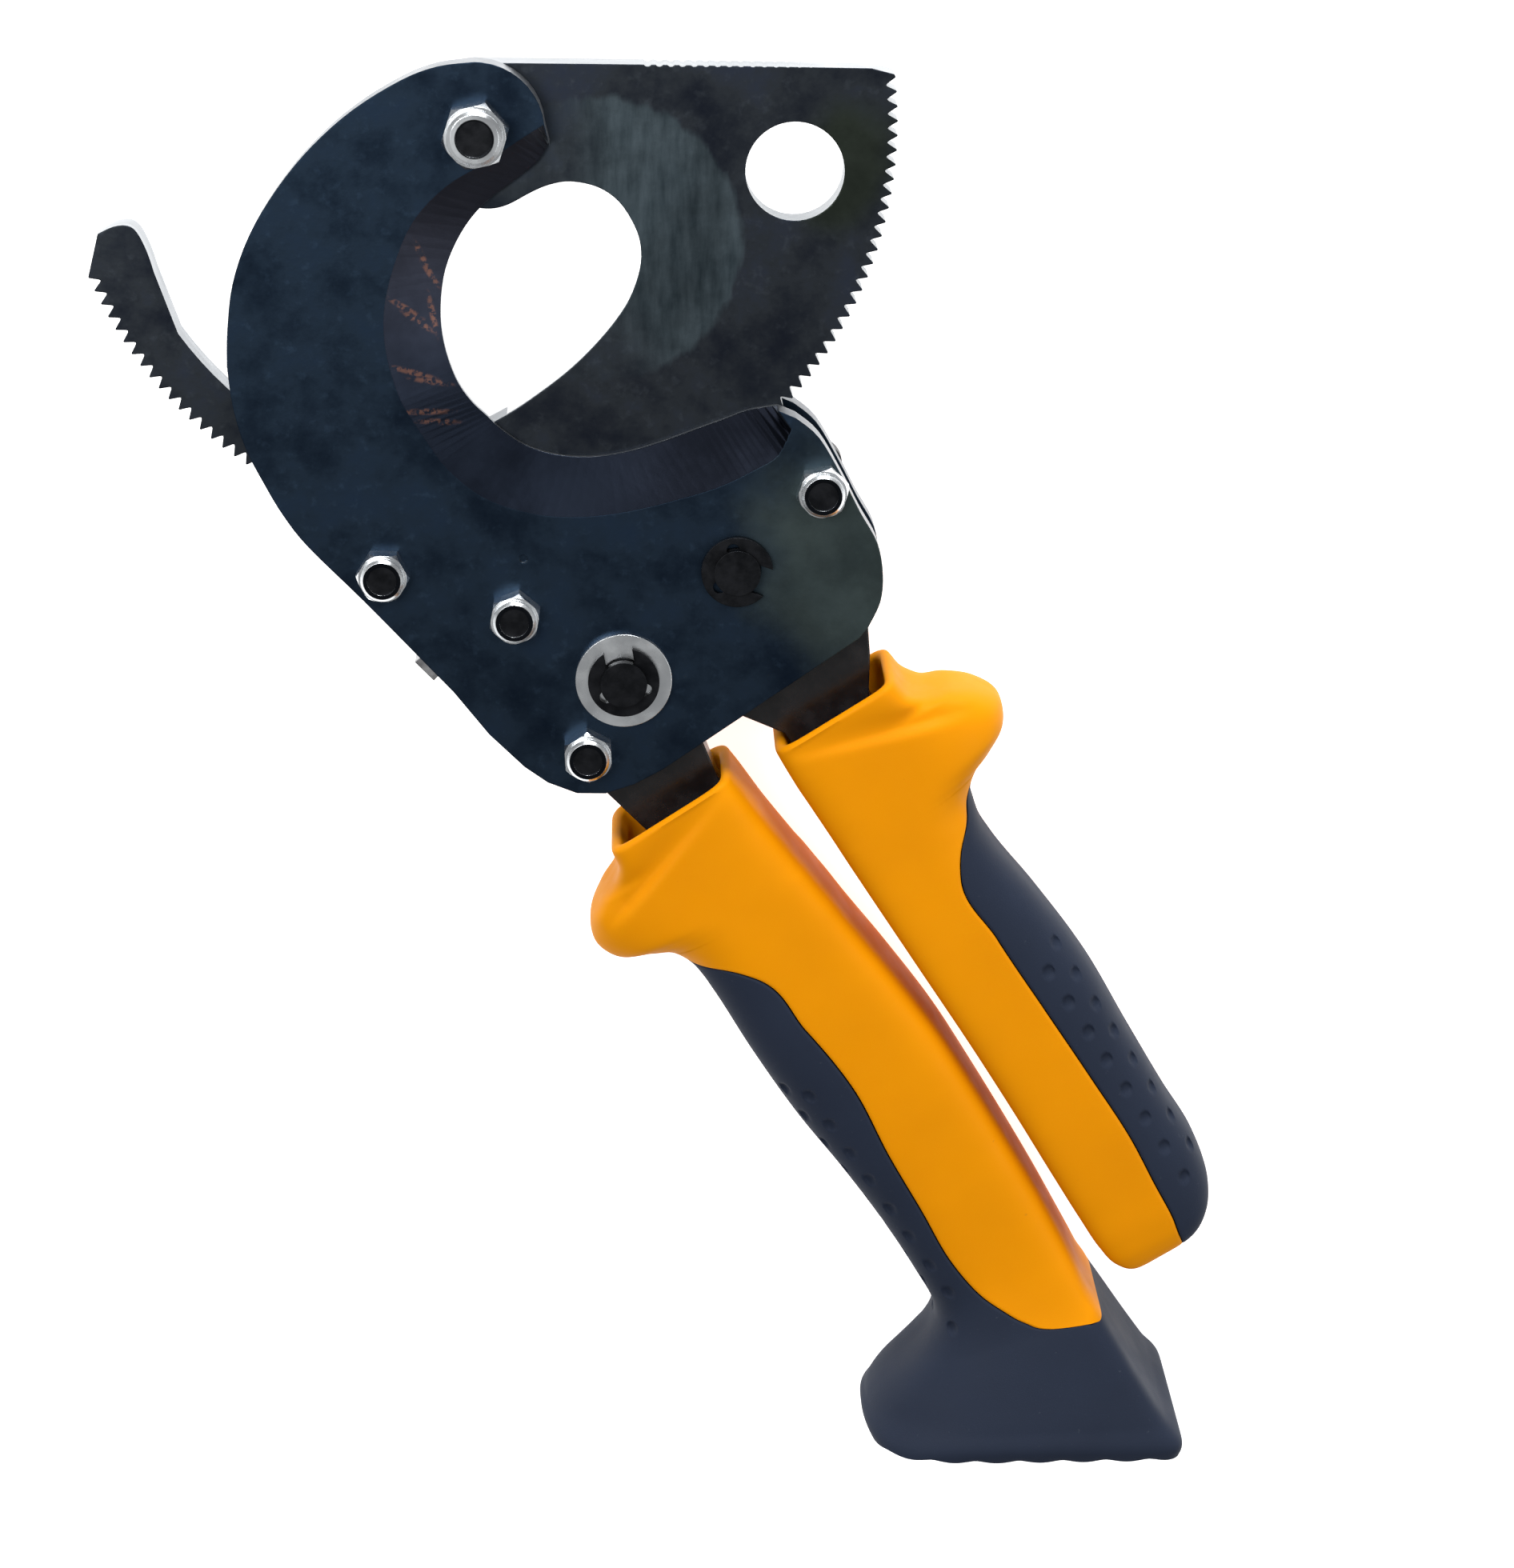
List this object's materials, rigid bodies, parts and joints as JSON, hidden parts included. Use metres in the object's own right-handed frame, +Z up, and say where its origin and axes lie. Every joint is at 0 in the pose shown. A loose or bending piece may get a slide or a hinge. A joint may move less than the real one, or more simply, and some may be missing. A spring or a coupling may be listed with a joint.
{
  "type": "ratcheting cable cutter",
  "caption": "One-hand ratcheting cable cutter with a toothed swinging blade, a fixed hook blade and two moulded grips, the longer one ending in a bench foot.",
  "frame": {"origin": "bottom centre of the whole tool's box as it lies flat, closed, with its nuts up", "axes": "+Z up out of the flat tool on the nut side, +Y from the bench foot's sole towards the head, +X from the hook's back towards the blade's teeth"},
  "size_m": [0.1945, 0.2522, 0.0426],
  "materials": {
    "blackened_steel": "black oxide, ground and mottled",
    "black_enamel": "gloss black",
    "bare_steel": "machined",
    "spring_steel": "drawn wire",
    "dark_fastener": "black oxide",
    "zinc_plate": "bright zinc plate",
    "orange_plastic": "satin moulded",
    "soft_grey": "soft matt overmould"
  },
  "bodies": {
    "frame": {"front_plate": "blackened_steel", "rear_plate": "blackened_steel", "side_spacer": "bare_steel", "frame_spacers": "bare_steel", "frame_bolts": "dark_fastener", "frame_nuts": "zinc_plate", "pivot_bolt": "dark_fastener", "pivot_nut": "zinc_plate", "fixed_tang": "black_enamel", "fixed_grip_shell": "orange_plastic", "fixed_grip_pad": "soft_grey", "handle_pin": "dark_fastener", "handle_pin_washer": "zinc_plate", "handle_pin_clip": "dark_fastener", "drive_pawl_spring": "spring_steel", "holding_pawl_spring": "spring_steel"},
    "blade": {"blade": "blackened_steel"},
    "moving_handle": {"moving_lever": "black_enamel", "moving_grip_shell": "orange_plastic", "moving_grip_pad": "soft_grey", "drive_pawl_pin": "bare_steel", "handle_spring": "spring_steel"},
    "drive_pawl": {"drive_pawl": "bare_steel"},
    "holding_pawl": {"holding_pawl": "bare_steel", "holding_pawl_pin": "dark_fastener", "holding_pawl_clips": "dark_fastener", "release_lever": "black_enamel"}
  },
  "joints": [
    {"name": "blade_swing", "type": "hinge", "parent": "frame", "child": "blade", "pos_m": [-0.03154, 0.11445, 0.0213], "axis": [0, 0, -1], "range_deg": [-124, 76]},
    {"name": "handle_open", "type": "hinge", "parent": "frame", "child": "moving_handle", "pos_m": [-0.00814, 0.02005, 0.0213], "axis": [0, 0, -1], "range_deg": [0, 22], "deforming": ["handle_spring", "drive_pawl_spring"]},
    {"name": "drive_pawl_swing", "type": "hinge", "parent": "moving_handle", "child": "drive_pawl", "pos_m": [-0.01404, 0.03095, 0.0213], "axis": [0, 0, -1], "range_deg": [-30, 1.5]},
    {"name": "holding_pawl_swing", "type": "hinge", "parent": "frame", "child": "holding_pawl", "pos_m": [0.01146, 0.03925, 0.0213], "axis": [0, 0, -1], "range_deg": [-8, 4.4], "deforming": ["holding_pawl_spring"]}
  ],
  "couplings": [
    {"joint": "drive_pawl_swing", "follows": "handle_open", "ratio": -1.28}
  ]
}
